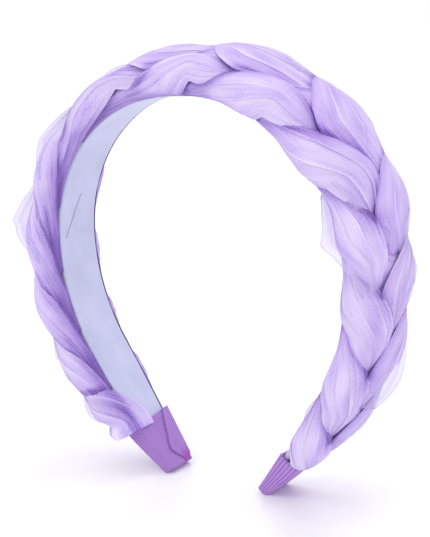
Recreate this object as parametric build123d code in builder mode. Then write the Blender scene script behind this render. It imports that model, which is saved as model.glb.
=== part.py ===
from build123d import *
import os
from collections import namedtuple
from math import cos, hypot, inf, pi, radians, sin, sqrt

from scipy.interpolate import PchipInterpolator

# Braided headband, standing on its two tips
# X runs across the head, -Y is the front edge and +Z is up; the origin lies on the floor between the tips.
# Lengths are millimetres and angles are degrees.

# Hoop: tangent arcs of its inner line, from the top down to either tip
crown_radius = 85.0
crown_turn = 12.7
shoulder_radius = 57.0
shoulder_turn = 75.0
side_radius = 75.0
side_turn = 34.0
leg_radius = 430.0
leg_turn = 7.1

# Satin-covered band, narrowing towards its ends
band_width = 20.0
band_end_width = 10.4
band_thickness = 2.4
band_taper_length = 52.0
band_edge_round = 0.8

# Ribbon wound round each end of the band
ribbon_wall = 1.0
ribbon_clearance = 0.3
tip_mouth_room = 3.4
tip_foot_flat = 0.8
tip_corner_round = 0.8
flap_wall = 0.8

# Braid of three gathered strands over the outside of the band, drooping past the band's edges
braid_width = 36.0
braid_height = 11.5
braid_edge_height = 3.2
braid_droop = 38.0
braid_clearance = 0.3
strand_gap = 1.05
strand_swing = 11.4
strand_rise = 3.2
strand_half_width = 11.5
strand_half_height = 4.7
strand_lean = 24.0
pleat_depth = 0.1

# How finely the strands are drawn
strand_count = 3
strand_steps = 11
strand_sides = 12

# Where the front strand tucks under at the middle of the braid, as shares of the hoop's length from the left tip
TUCKS = [0.040, 0.107, 0.167, 0.230, 0.301, 0.371, 0.457, 0.536, 0.614, 0.695, 0.765, 0.835, 0.915, 0.968]

# Size of the braid along the hoop: share of the hoop's length, and shares of the braid's half-width to the
# front and to the back and of its height
Girth = namedtuple("Girth", "share front back height")
GIRTHS = [
    Girth(0.040, 0.40, 0.40, 0.20),
    Girth(0.056, 0.46, 0.46, 0.25),
    Girth(0.074, 0.92, 0.72, 0.78),
    Girth(0.105, 1.00, 0.82, 1.04),
    Girth(0.200, 1.06, 0.84, 1.06),
    Girth(0.300, 1.08, 0.84, 0.98),
    Girth(0.370, 1.00, 0.92, 0.84),
    Girth(0.450, 1.00, 1.00, 1.10),
    Girth(0.540, 1.02, 1.00, 1.28),
    Girth(0.660, 1.16, 1.06, 1.06),
    Girth(0.760, 1.08, 0.86, 0.92),
    Girth(0.860, 1.02, 0.92, 0.92),
    Girth(0.915, 0.94, 0.84, 0.88),
    Girth(0.936, 0.90, 0.62, 0.70),
    Girth(0.952, 0.46, 0.46, 0.25),
    Girth(0.968, 0.40, 0.40, 0.18),
]

# The two tips: side in X, and how far up the leg the ribbon reaches at the front and at the back edge
Tip = namedtuple("Tip", "name side mouth_front mouth_back")
TIPS = [
    Tip("tip_wrap_left", -1, 18.5, 21.5),
    Tip("tip_wrap_right", 1, 19.0, 15.5),
]

# Overlap of the ribbon on the inner face: shares of the half-width from front to back, and of the tip's length
FlapCorner = namedtuple("FlapCorner", "across up")
FLAP = [
    FlapCorner(0.55, 0.97),
    FlapCorner(-0.25, 0.28),
    FlapCorner(0.05, 0.12),
    FlapCorner(0.80, 0.10),
    FlapCorner(0.92, 0.97),
]

HoopArc = namedtuple("HoopArc", "radius turn")
HOOP = [
    HoopArc(crown_radius, crown_turn),
    HoopArc(shoulder_radius, shoulder_turn),
    HoopArc(side_radius, side_turn),
    HoopArc(leg_radius, leg_turn),
]
half_length = sum(arc.radius * radians(arc.turn) for arc in HOOP)


def walk(reach):
    """The inner line at a length from the top of the hoop: x, height below the top, heading below level."""
    x = drop = heading = 0.0
    for arc in HOOP:
        limit = inf if arc is HOOP[-1] else radians(arc.turn)
        turn = min(reach / arc.radius, limit)
        x += arc.radius * (sin(heading + turn) - sin(heading))
        drop += arc.radius * (cos(heading) - cos(heading + turn))
        heading += turn
        reach -= arc.radius * turn
    return x, drop, heading


# The hoop's top is as high as puts the flattened corner of the ribbon on the floor
end_drop, end_heading = walk(half_length)[1:]
wrap_wall = ribbon_wall + ribbon_clearance
corner_drop = wrap_wall * sin(end_heading) - (band_thickness + wrap_wall) * cos(end_heading)
hoop_top = end_drop + corner_drop - tip_foot_flat


def on_hoop(reach, out, side=1):
    """A point of the side view: a length from the top along the inner line, and a distance outside it."""
    x, drop, heading = walk(reach)
    return side * (x + out * sin(heading)), hoop_top - drop + out * cos(heading)


def leg_height(up):
    """Height above the floor of the inner line, a length up the leg from its end."""
    return on_hoop(half_length - up, 0)[1]


def side_plane(side):
    """The XZ plane, seen with the chosen side of the hoop on the right."""
    return Plane(origin=(0, 0, 0), x_dir=(side, 0, 0), z_dir=(0, -side, 0))


def front_outline(beyond):
    """Width of the band seen from its side and from the floor up, with an allowance beyond each edge."""
    half, end_half = band_width / 2 + beyond, band_end_width / 2 + beyond
    taper_top = leg_height(band_taper_length)
    above = hoop_top + braid_height
    with BuildSketch(Plane.YZ) as outline:
        with BuildLine():
            taper = TangentArc((half, taper_top), (end_half, 0), tangent=(0, -1))
            Polyline(taper @ 1, (0, 0), (0, above), (half, above), taper @ 0)
        make_face()
        mirror(about=Plane.YZ)
    return outline.sketch


def hoop_line(out):
    """Draws one half of a line parallel to the hoop's inner line, and gives its ends."""
    start, heading = Vector(0, hoop_top + out), Vector(1, 0)
    first = start
    for arc in HOOP:
        piece = JernArc(start=start, tangent=heading, radius=arc.radius + out, arc_size=-arc.turn)
        start, heading = piece @ 1, piece % 1
    return first, start


def long_edges(piece):
    """The edges that run along the hoop at the front and at the back."""
    return piece.edges().filter_by(lambda edge: edge.length > 5 * band_thickness and abs(edge.center().Y) > 1)


def make_band():
    """The satin-covered band: a bent strip whose front view narrows along a tangent arc."""
    outline = front_outline(0)
    with BuildPart() as band:
        with BuildSketch(Plane.XZ):
            with BuildLine():
                inner_top, inner_end = hoop_line(0)
                outer_top, outer_end = hoop_line(band_thickness)
                Line(inner_top, outer_top)
                Line(inner_end, outer_end)
            make_face()
            mirror(about=Plane.YZ)
        extrude(amount=band_width, both=True)
        extrude(outline, amount=half_length, both=True, mode=Mode.INTERSECT)
        fillet(long_edges(band), radius=band_edge_round)
    return band


def leg_block(tip, beyond, edge_round=0):
    """The space round one end of the band, widening outwards to the mouth that takes the strands' ends."""
    mouth_up = (tip.mouth_front + tip.mouth_back) / 2
    block_up = 1.4 * mouth_up
    top, bottom = half_length - block_up, half_length + beyond
    room_at_top = tip_mouth_room * block_up / mouth_up
    outline = front_outline(beyond)
    with BuildPart() as block:
        with BuildSketch(side_plane(tip.side)):
            with BuildLine():
                inner = ThreePointArc(*[on_hoop(r, -beyond) for r in (top, (top + bottom) / 2, bottom)])
                Polyline(
                    inner @ 1,
                    on_hoop(bottom, band_thickness + beyond),
                    on_hoop(top, band_thickness + beyond + room_at_top),
                    inner @ 0,
                )
            make_face()
        extrude(amount=band_width, both=True)
        extrude(outline, amount=half_length, both=True, mode=Mode.INTERSECT)
        if edge_round:
            fillet(long_edges(block), radius=edge_round)
    return block.part


def band_half(share):
    """Half the width of the band, at a share of the hoop's length."""
    up = 2 * half_length * min(share, 1 - share)
    narrowing = max(0, 1 - up / band_taper_length) ** 2
    return (band_width - (band_width - band_end_width) * narrowing) / 2


def ribbon_half(up):
    """Half the width of the wound ribbon, a length up the leg from its end."""
    return wrap_wall + band_half(up / 2 / half_length)


def leg_plane(tip, up, out):
    """A plane along the leg's faces: X from front to back, Y down the leg on the right and up it on the left."""
    x, z = on_hoop(half_length - up, out, tip.side)
    heading = walk(half_length - up)[2]
    return Plane(origin=(x, 0, z), x_dir=(0, 1, 0), z_dir=(-tip.side * sin(heading), 0, -cos(heading)))


def make_tip(tip):
    """Ribbon wound round one end of the band, with its overlap on the inner face."""
    outside = leg_block(tip, wrap_wall, tip_corner_round)
    inside = leg_block(tip, ribbon_clearance)
    mouth_up = (tip.mouth_front + tip.mouth_back) / 2
    mouth_plane = leg_plane(tip, mouth_up, 0)
    slant = (tip.mouth_back - tip.mouth_front) / (2 * ribbon_half(mouth_up))
    up_leg = mouth_plane.y_dir * -tip.side
    inner_face = leg_plane(tip, mouth_up / 2, -ribbon_clearance - ribbon_wall / 2)
    corners = []
    for corner in FLAP:
        up = corner.up * mouth_up
        corners.append((corner.across * ribbon_half(up), tip.side * (mouth_up / 2 - up)))
    with BuildPart() as wrap:
        add(outside)
        add(inside, mode=Mode.SUBTRACT)
        with BuildSketch(inner_face):
            Polygon(*corners, align=None)
        extrude(amount=ribbon_wall / 2 + flap_wall)
        split(bisect_by=Plane(origin=mouth_plane.origin, z_dir=up_leg - Vector(0, slant, 0)), keep=Keep.BOTTOM)
    return wrap


tucks = range(len(TUCKS))
share_at_tuck = PchipInterpolator(tucks, TUCKS)
girth_at_share = PchipInterpolator([girth.share for girth in GIRTHS], [girth[1:] for girth in GIRTHS])


def softest(limits, sharpness=7):
    """A smooth lower bound of some positive limits."""
    return sum(limit**-sharpness for limit in limits) ** (-1 / sharpness)


def to_line(ray, normal, distance):
    """How many times a ray goes into the way to a line that lies a distance off along a normal."""
    towards = (ray[0] * normal[0] + ray[1] * normal[1]) / hypot(*normal)
    return distance / towards if towards > 0 else inf


def to_ellipse(ray, start, half_width, half_height):
    """How many times a ray goes into the way from a start inside an ellipse to its edge."""
    ray = ray[0] / half_width, ray[1] / half_height
    start = start[0] / half_width, start[1] / half_height
    a = ray[0] ** 2 + ray[1] ** 2
    b = ray[0] * start[0] + ray[1] * start[1]
    c = start[0] ** 2 + start[1] ** 2 - 1
    return (sqrt(b * b - a * c) - b) / a


def strand_centre(phase, front, back, height):
    """Middle of a strand in the braid's cross-section: across the band, and out from its outer face."""
    drop = (braid_height / 2 - braid_edge_height) * sin(phase) ** 4
    width = front if sin(phase) < 0 else back
    return width * strand_swing * sin(phase), height * (braid_height / 2 - drop - strand_rise * sin(2 * phase))


def strand_ring(tuck, index):
    """Outline of a strand in the braid's cross-section, kept clear of the other strands and of the band."""
    share = float(share_at_tuck(tuck))
    front, back, height = [float(value) for value in girth_at_share(share)]
    phases = [2 * pi * (tuck + i) / strand_count for i in range(strand_count)]
    centres = [strand_centre(phase, front, back, height) for phase in phases]
    across, out = centres[index]
    half_width, half_height = strand_half_width * (front + back) / 2, strand_half_height * height
    lean = -radians(strand_lean) * cos(phases[index])

    # The band's edge that the strand lies over, and the slope of the strand's underside there
    side = 1 if across > 0 else -1
    edge_gap = side * (band_half(share) + braid_clearance) - across
    droop = radians(braid_droop) * min(1, across / (across + edge_gap)) ** 4
    floor_normal = side * -sin(droop), -cos(droop)
    floor = edge_gap * floor_normal[0] - out * floor_normal[1]

    # The dome over the whole braid
    dome_half_width, dome_middle = braid_width * (front + back) / 4, braid_width * (back - front) / 4
    dome_foot = braid_edge_height * height
    dome_height = braid_height * height - dome_foot

    ring = []
    for k in range(strand_sides):
        angle = 2 * pi * k / strand_sides
        u, w = half_width * cos(angle), half_height * sin(angle)
        ray = u * cos(lean) - w * sin(lean), u * sin(lean) + w * cos(lean)
        limits = [1.0, to_line(ray, floor_normal, floor)]
        for other in centres[:index] + centres[index + 1:]:
            apart = other[0] - across, other[1] - out
            normal = apart[0], apart[1] * (half_width / half_height) ** 2
            midway = (apart[0] * normal[0] + apart[1] * normal[1]) / 2 / hypot(*normal)
            limits.append(to_line(ray, normal, midway - strand_gap / 2))
        limits.append(to_ellipse(ray, (across - dome_middle, out - dome_foot), dome_half_width, dome_height))
        reach = softest(limits) * (1 - pleat_depth * (k % 2))
        ring.append((across + reach * ray[0], out + reach * ray[1]))
    return ring


def skin(rings):
    """A closed solid of triangles over a row of rings, each pair of them on the shorter diagonal."""
    faces = []
    sides = len(rings[0])
    for lower, upper in zip(rings, rings[1:]):
        for k in range(sides):
            n = (k + 1) % sides
            corners = [lower[k], lower[n], upper[n], upper[k]]
            if (corners[2] - corners[0]).length > (corners[3] - corners[1]).length:
                corners = corners[1:] + corners[:1]
            faces.append(Face(Wire.make_polygon(corners[:3])))
            faces.append(Face(Wire.make_polygon([corners[0], corners[2], corners[3]])))
    for ring in (rings[0], rings[-1]):
        middle = sum(ring, Vector()) / sides
        for k in range(sides):
            faces.append(Face(Wire.make_polygon([ring[k], ring[(k + 1) % sides], middle])))
    return Solid(Shell(faces))


def make_strand(index):
    """One strand of the braid, from mouth to mouth."""
    rings = []
    for step in range(strand_steps * (len(TUCKS) - 1) + 1):
        tuck = step / strand_steps
        reach = (2 * float(share_at_tuck(tuck)) - 1) * half_length
        side = 1 if reach > 0 else -1
        ring = []
        for across, out in strand_ring(tuck, index):
            x, z = on_hoop(abs(reach), band_thickness + braid_clearance + out, side)
            ring.append(Vector(x, across, z))
        rings.append(ring)
    with BuildPart() as strand:
        add(skin(rings))
    return strand


def export(name, piece):
    piece.part.label = name
    export_step(piece.part, f"parts/{name}.step")


os.makedirs("parts", exist_ok=True)
export("satin_band", make_band())
for number in range(strand_count):
    export(f"strand_{number + 1}", make_strand(number))
for tip in TIPS:
    export(tip.name, make_tip(tip))
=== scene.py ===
from collections import namedtuple
from math import cos, pi, radians, sin

import bpy
import numpy as np
from mathutils import Matrix, Vector


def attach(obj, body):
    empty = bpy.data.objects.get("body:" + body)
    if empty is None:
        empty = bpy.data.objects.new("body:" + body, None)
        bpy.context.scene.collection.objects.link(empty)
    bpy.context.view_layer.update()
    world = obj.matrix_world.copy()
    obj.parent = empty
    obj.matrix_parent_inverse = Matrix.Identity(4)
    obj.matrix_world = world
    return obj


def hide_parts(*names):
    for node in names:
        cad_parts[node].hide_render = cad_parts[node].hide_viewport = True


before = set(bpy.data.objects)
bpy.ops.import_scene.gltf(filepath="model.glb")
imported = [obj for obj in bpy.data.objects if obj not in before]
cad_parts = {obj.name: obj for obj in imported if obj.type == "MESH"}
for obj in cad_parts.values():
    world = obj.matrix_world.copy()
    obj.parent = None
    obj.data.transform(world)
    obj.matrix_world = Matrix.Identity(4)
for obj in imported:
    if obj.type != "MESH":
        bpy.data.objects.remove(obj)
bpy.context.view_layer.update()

# Braided headband: satin-lined hoop, three gathered organza strands and grosgrain-wrapped tips
# Sizes are in millimetres, as in the part's source, and points are in metres.
MM = 0.001

HoopArc = namedtuple("HoopArc", "radius turn")
HOOP = [HoopArc(85.0, 12.7), HoopArc(57.0, 75.0), HoopArc(75.0, 34.0), HoopArc(430.0, 7.1)]
half_length = sum(arc.radius * radians(arc.turn) for arc in HOOP)

band_width = 20.0
band_end_width = 10.4
band_thickness = 2.4
band_taper_length = 52.0
band_edge_round = 1.2
pucker_reach = 2.2
pucker_height = 0.07
cushion_height = 0.12

wrap_wall = 1.3
tip_mouth_room = 3.4
tip_foot_flat = 0.8
tip_corner_round = 1.0
corner_pull = 0.3
flap_wall = 0.8
flap_edge = 0.25
tip_cords = 42
cord_height = 0.16
cord_sink = 0.10

# The braid's dome over the band, and how its strands swing to the sides and rise as they plait
braid_width = 36.0
braid_height = 11.5
braid_edge_height = 3.2
braid_clearance = 0.3
strand_count = 3
strand_gap = 0.02
strand_swing = 10.6
strand_rise = 3.2
strand_half_width = 12.2
strand_half_height = 5.6
strand_lean = 24.0
strand_lane = 10.0
strand_cloth = 24.0

# Between two strands, the one on top takes this much more of the room, and it starts a little early
over_part = 0.24
over_lead = 0.5

# A strand swells on its hidden side and slightly on its outer side. Its section's corners are round where it
# lies free, and tight where it is pressed
hidden_swell = 0.8
outer_swell = 0.06
free_sharpness = 8.0
pressed_sharpness = 24.0
shown_sharpness = 12
near_reach = 0.30

# Lines that keep the strands off the band's corners, by this much room
strand_room = 0.6
BACK_NORMAL = (0.78, -0.62)
FRONT_NORMAL = (-0.81, -0.59)

# Where a leaf of the front side tucks under, as shares of the hoop's length from the left tip, its place
# across the braid, from -1 at the front to 1 at the back, and how full the leaf is that ends there
TUCKS = [0.040, 0.118, 0.180, 0.243, 0.312, 0.391, 0.482, 0.5635, 0.642, 0.709, 0.7635, 0.829, 0.900, 0.968]
LANES = [-0.40, -0.40, -0.40, -0.42, -0.50, -0.62, -0.78, -0.59, -0.45, -0.33, -0.34, -0.31, -0.38, -0.30]
FULLNESS = [0.8, 0.9, 1.0, 0.8, 1.0, 0.9, 0.7, 0.8, 0.85, 1.25, 0.45, 1.0, 0.6, 0.8]

# Size of the braid along the hoop: share of the hoop's length, and shares of the braid's half-width to the
# front and to the back and of its height
Girth = namedtuple("Girth", "share front back height")
GIRTHS = [
    Girth(0.040, 0.40, 0.40, 0.20),
    Girth(0.056, 0.46, 0.46, 0.25),
    Girth(0.074, 0.92, 0.72, 0.78),
    Girth(0.105, 1.00, 0.82, 0.92),
    Girth(0.200, 1.04, 0.84, 0.94),
    Girth(0.250, 1.04, 0.84, 0.82),
    Girth(0.300, 1.04, 0.84, 0.72),
    Girth(0.370, 1.00, 0.92, 0.80),
    Girth(0.450, 1.00, 1.00, 1.10),
    Girth(0.540, 1.06, 1.00, 1.28),
    Girth(0.620, 1.26, 1.06, 1.18),
    Girth(0.650, 1.22, 1.06, 1.10),
    Girth(0.690, 0.98, 1.02, 1.02),
    Girth(0.760, 1.04, 0.86, 0.92),
    Girth(0.860, 1.02, 0.92, 0.92),
    Girth(0.915, 0.94, 0.84, 0.88),
    Girth(0.936, 0.90, 0.62, 0.70),
    Girth(0.952, 0.46, 0.46, 0.25),
    Girth(0.968, 0.40, 0.40, 0.18),
]

# The strands' own layers: how many folds cross one visible stretch, how deep the layers lie behind each, the
# lip along a fold, the room left for the leaves, and ripples along the strand
fold_count = 5
fold_depths = (0.25, 0.6)
fold_lip = 0.28
leaf_room = 1.8
Ripple = namedtuple("Ripple", "spacing depth")
RIPPLES = [Ripple(2.6, 0.22), Ripple(1.4, 0.13), Ripple(0.8, 0.07)]

# Millimetres in one place across the dome and in one tuck along it, and the width of a full leaf
place_width = 16.0
tuck_length = 25.0
full_width = 10.0
dome_inset = 1.2

# Leaves: one step of height among them, the crown along their middle, the slant of each layer, how well it
# hides what is under it, its pleats, the pale lines of painted highlight at its edge, how far painted shade
# darkens creases, the swelling over the dome's two shoulders, how much of that the lower edge keeps, and the
# room round the band's edge
leaf_rise = 0.9
leaf_crown = 1.0
leaf_step = 0.45
leaf_cover = 0.84
leaf_cloth = 22.0
pleat_spacing = 2.1
pleat_height = 0.07
rim_width = 0.16
second_rim = 0.7
crease_width = 1.7
edge_bulge = 1.6
shoulder = 0.85
shoulder_width = 0.45
edge_stand = 0.35
edge_gap = 0.2
edge_reach = 0.1

# Where leaves and loops start and end, in tucks inside the mouths, the front leaves that start later, and the
# last of those with a slanted edge
mouth_margin = 0.03
back_start = 0.14
FIRST_ROWS = {1: 0.06, 2: 0.45}
slanted_tips = 6

# The last leaf on the left turns over onto the lining: millimetres in one place there, the step onto it, how
# many places its edge goes on, where that ends in tucks, over how many it widens and how far it narrows again
turnover_width = 14.0
turnover_rise = 0.5
turnover_share = 0.84
turnover_end = 0.95
turnover_run = 0.65
turnover_past = 1.5
end_shear = 0.20

# That leaf spreads over the ribbon's mouth and draws in at its end, over these shares of the hoop's length
spread_start, spread_run = 0.072, 0.025
draw_in_start, draw_in_run, draw_in = 0.045, 0.005, 0.3
spread_front, spread_height = 0.42, 0.45
ribbon_cover, cover_start, cover_run = 1.7, 0.060, 0.010

# Single layers that stand off the braid in loops: strand, place in tucks, turn round the section, reach in
# millimetres past the strand, and half of its length in tucks
Loop = namedtuple("Loop", "strand tuck turn reach span")
LOOPS = [
    Loop(2, 0.62, 2.80, 3.4, 0.45),
    Loop(1, 1.45, 3.00, 3.0, 0.75),
    Loop(0, 2.20, 3.10, 2.4, 0.80),
    Loop(2, 3.30, 2.60, 8.5, 1.05),
    Loop(1, 4.35, 2.50, 6.0, 0.90),
    Loop(0, 5.35, 2.50, 3.0, 0.80),
    Loop(2, 6.25, 3.30, 1.6, 0.70),
    Loop(1, 7.25, 3.60, 1.6, 0.75),
    Loop(0, 8.35, 3.80, 3.0, 0.80),
    Loop(2, 9.20, 3.75, 10.5, 1.25),
    Loop(1, 10.2, 3.60, 1.6, 0.70),
    Loop(0, 11.2, 3.60, 1.8, 0.70),
    Loop(2, 11.85, 3.70, 4.8, 0.60),
    Loop(0, 0.75, 0.20, 2.4, 0.60),
    Loop(2, 1.75, 0.10, 1.8, 0.55),
    Loop(0, 6.75, 0.60, 2.0, 0.75),
    Loop(2, 7.75, 0.90, 1.8, 0.70),
    Loop(1, 8.95, 0.10, 3.2, 0.80),
    Loop(0, 9.85, 0.70, 3.4, 0.80),
    Loop(2, 11.15, 0.50, 5.6, 0.80),
    Loop(1, 11.85, 0.60, 2.0, 0.60),
]
loop_inset = 4.0
loop_spread = 1.35
loop_nose = 0.55

# The two tips: side in X, and how far up the leg the ribbon reaches at the front and at the back edge
Tip = namedtuple("Tip", "name node side mouth_front mouth_back")
TIPS = [
    Tip("ribbon_left", "tip_wrap_left", -1, 18.5, 21.5),
    Tip("ribbon_right", "tip_wrap_right", 1, 19.0, 15.5),
]

# Rows and columns of the meshes
ROWS_PER_TUCK = 36
SECTION_TURNS = 360
STRAND_COLUMNS = 100
LEAF_ROWS, LEAF_COLUMNS = 64, 14
LOOP_ROWS, LOOP_COLUMNS = 60, 37
BAND_ROWS, BAND_COLUMNS = 460, 96
TIP_ROWS, TIP_COLUMNS = 44, 336
THREAD_ROWS, THREAD_COLUMNS = 40, 8

# Guards for rays: the least distance to a line, the least slant towards it, and the way to no line at all
LEAST, SLIGHT, FAR = 0.02, 1e-6, 1e6


# Smooth curves


def flowing(places, values, at):
    """Values given at a row of places, joined smoothly without overshoot."""
    places, values = np.asarray(places, float), np.asarray(values, float)
    at = np.clip(at, places[0], places[-1])
    steps = np.diff(places)
    slopes = np.diff(values) / steps
    before, after = 2 * steps[1:] + steps[:-1], steps[1:] + 2 * steps[:-1]
    same_way = slopes[:-1] * slopes[1:] > 0
    safe = np.where(slopes == 0, 1.0, slopes)
    blend = np.where(same_way, before / safe[:-1] + after / safe[1:], 1.0)
    inner = np.where(same_way, (before + after) / blend, 0)
    tangents = np.concatenate([[slopes[0]], inner, [slopes[-1]]])
    k = np.clip(np.searchsorted(places, at, side="right") - 1, 0, len(steps) - 1)
    t, h = (at - places[k]) / steps[k], steps[k]
    return (
        (1 + 2 * t) * (1 - t) ** 2 * values[k]
        + t * (1 - t) ** 2 * h * tangents[k]
        + t * t * (3 - 2 * t) * values[k + 1]
        + t * t * (t - 1) * h * tangents[k + 1]
    )


def along_rows(rows, at):
    """The values that rows give after their place, each joined smoothly from place to place."""
    places, *fields = zip(*rows)
    return [flowing(places, field, at) for field in fields]


def at_tucks(values, tucks):
    """Values given for each tuck, joined smoothly from tuck to tuck."""
    return flowing(range(len(values)), values, tucks)


def ease(x):
    """A smooth step from 0 to 1."""
    x = np.clip(x, 0, 1)
    return x * x * (3 - 2 * x)


def bell(x, width):
    """A smooth bump of height 1 round 0."""
    return np.exp(-((x / width) ** 2))


def waves(places, seed, count=5, slowest=0.35):
    """A smooth wander between about -1 and 1, the same each run."""
    rng = np.random.default_rng(seed)
    total = np.zeros_like(np.asarray(places, float))
    for k in range(count):
        rate = slowest * (1.7**k) * rng.uniform(0.85, 1.15)
        total = total + np.sin(2 * pi * (rate * places + rng.uniform())) / (1.35**k)
    return total / 2.2


# The hoop's line


def walk(reach):
    """The inner line at lengths from the top of the hoop: x, height below the top, heading below level."""
    reach = np.asarray(reach, float)
    x, drop, heading = np.zeros_like(reach), np.zeros_like(reach), np.zeros_like(reach)
    for arc in HOOP:
        limit = np.inf if arc is HOOP[-1] else radians(arc.turn)
        turn = np.minimum(reach / arc.radius, limit)
        x += arc.radius * (np.sin(heading + turn) - np.sin(heading))
        drop += arc.radius * (np.cos(heading) - np.cos(heading + turn))
        heading = heading + turn
        reach = reach - arc.radius * turn
    return x, drop, heading


end_x, end_drop, end_heading = walk(half_length)
corner_drop = wrap_wall * sin(end_heading) - (band_thickness + wrap_wall) * cos(end_heading)
hoop_top = float(end_drop + corner_drop - tip_foot_flat)


def on_hoop(reach, across, out):
    """Points in metres: length from the top to the right, distance to the back and off the inner face."""
    reach, across, out = np.broadcast_arrays(np.asarray(reach, float), across, out)
    x, drop, heading = walk(np.abs(reach))
    side = np.where(reach < 0, -1.0, 1.0)
    height = hoop_top - drop + out * np.cos(heading)
    return np.stack([side * (x + out * np.sin(heading)), across, height], -1) * MM


def over_band(share, across, out):
    """Points in metres: share of the hoop's length, distance to the back, distance over the band's cloth."""
    return on_hoop((2 * share - 1) * half_length, across, band_thickness + braid_clearance + out)


def band_half(up):
    """Half the width of the band, a length up the leg from its end."""
    narrowing = np.clip(1 - np.asarray(up, float) / band_taper_length, 0, None) ** 2
    return (band_width - (band_width - band_end_width) * narrowing) / 2


def band_half_at(share):
    """Half the width of the band, at a share of the hoop's length."""
    return band_half(half_length * (1 - np.abs(2 * share - 1)))


# The braid's cross-sections


def dome(front, back, height):
    """The dome over the braid's section: half of its width, its middle, its foot and its rise over that."""
    foot = braid_edge_height * height
    half, middle = braid_width * (front + back) / 4, braid_width * (back - front) / 4
    return half, middle, foot, braid_height * height - foot


def strand_centre(phase, front, back, height):
    """Middle of a strand in the braid's cross-section: across the band, and out from its outer face."""
    drop = (braid_height / 2 - braid_edge_height) * np.sin(phase) ** 4
    across = np.where(np.sin(phase) < 0, front, back) * strand_swing * np.sin(phase)
    return across, height * (braid_height / 2 - drop - strand_rise * np.sin(2 * phase))


def to_line(ray, normal, distance):
    """How many times a ray goes into the way to a line that lies a distance off along a normal."""
    towards = (ray[0] * normal[0] + ray[1] * normal[1]) / np.hypot(*normal)
    return np.where(towards > SLIGHT, np.maximum(distance, LEAST) / np.maximum(towards, SLIGHT), FAR)


def to_band(ray, across, out, edge):
    """How many times a ray goes into the way to the band's outer face, its edge or its lining's level."""
    down = np.maximum(-ray[1], SLIGHT)
    to_face = np.maximum(out, LEAST) / down
    on_face = np.abs(across + to_face * ray[0]) < edge
    to_level = (out + band_thickness + edge_reach) / down
    inward = -np.sign(across) * ray[0]
    way_to_edge = np.maximum(np.abs(across) - edge, LEAST) / np.maximum(inward, SLIGHT)
    to_edge = np.where(inward > SLIGHT, way_to_edge, FAR)
    beyond = np.where(np.abs(across) > edge, np.minimum(to_edge, to_level), to_level)
    return np.where(ray[1] > -SLIGHT, FAR, np.where(on_face, to_face, beyond))


def soft_least(limits, sharpness):
    """The least of some limits, rounded where two of them meet."""
    return sum(np.maximum(limit, LEAST) ** -sharpness for limit in limits) ** (-1 / sharpness)


# A strand's outline: its middle, its ellipse's ray and how far the outline lies along it, how near the next
# strand is, how much of the surface shows, and where on the hoop, on which side and at which phase it is
Section = namedtuple("Section", "across out ray reach near shown share side phase")


def strand_section(tucks, index, turns):
    """A strand's outline at places along the braid (rows) and turns round its section (columns)."""
    tucks = tucks[:, None]
    share = at_tucks(TUCKS, tucks)
    front, back, height = along_rows(GIRTHS, share)
    lane = strand_lane * at_tucks(LANES, tucks)
    phases = [2 * pi * (tucks + i) / strand_count for i in range(strand_count)]
    centres = [strand_centre(phase, front, back, height) for phase in phases]
    centres = [(across + lane, out) for across, out in centres]
    across, out = centres[index]
    half_width, half_height = strand_half_width * (front + back) / 2, strand_half_height * height
    lean = -radians(strand_lean) * np.cos(phases[index])
    side = np.where(across > 0, 1.0, -1.0)

    # The bundle is an ellipse on the side that shows, and swells to fill the room on its hidden side
    u, w = half_width * np.cos(turns), half_height * np.sin(turns)
    ray = u * np.cos(lean) - w * np.sin(lean), u * np.sin(lean) + w * np.cos(lean)
    inward = -side * np.cos(turns)
    hidden = np.clip(inward, 0, 1) + np.clip(-np.sin(turns), 0, 1) * np.clip(0.75 + 1.1 * inward, 0, 1)
    swollen = 1 + hidden_swell * ease(hidden) + outer_swell * np.clip(-inward, 0, 1)

    # It stays under the dome over the whole braid
    dome_half, middle, foot, rise = dome(front, back, height)
    r = ray[0] / dome_half, ray[1] / rise
    c = (across - middle) / dome_half, (out - foot) / rise
    a, b, d = r[0] ** 2 + r[1] ** 2, r[0] * c[0] + r[1] * c[1], c[0] ** 2 + c[1] ** 2 - 1
    to_dome = (np.sqrt(np.maximum(b * b - a * d, 0)) - b) / a
    free = soft_least([swollen, to_dome], free_sharpness)

    # The other strands press it flat on the line between them
    beside = []
    for i in range(strand_count):
        if i != index:
            apart = centres[i][0] - across, centres[i][1] - out
            normal = apart[0], apart[1] * (half_width / half_height) ** 2
            whole = (apart[0] * normal[0] + apart[1] * normal[1]) / np.hypot(*normal)
            rising, other = (np.sin(2 * phases[k] + over_lead) for k in (index, i))
            own_part = 0.5 - over_part * np.tanh(rising - other)
            beside.append(to_line(ray, normal, whole * own_part - strand_gap / 2))

    # Below its edges the cloth is drawn in to the band's edge
    edge = band_half_at(share) + braid_clearance
    drawn_in = [to_band(ray, across, out, edge)]
    for corner, normal in ((edge, BACK_NORMAL), (-edge, FRONT_NORMAL)):
        room = normal[0] * (corner - across) - normal[1] * (band_thickness + braid_clearance + out)
        drawn_in.append(to_line(ray, normal, room - strand_room))

    pressed = [np.minimum.reduce(drawn_in)] + beside
    reach = soft_least([free] + pressed, pressed_sharpness)
    near = np.exp(-np.maximum(np.minimum(*beside) / reach - 1, 0) / near_reach)
    shown = 1 / (1 + (free / np.maximum(np.minimum.reduce(pressed), LEAST)) ** shown_sharpness)
    return Section(across, out, ray, reach, near, shown, share, side, phases[index])


def visible_share(y, z, shown):
    """Place of each point across the visible part of a strand, from 0 to 1, and that part's width."""
    steps = np.hypot(np.diff(y, axis=1, append=y[:, :1]), np.diff(z, axis=1, append=z[:, :1]))
    seen = steps * (shown + 0.01)
    return (np.cumsum(seen, axis=1) - seen / 2) / seen.sum(1, keepdims=True), seen.sum(1, keepdims=True)


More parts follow.
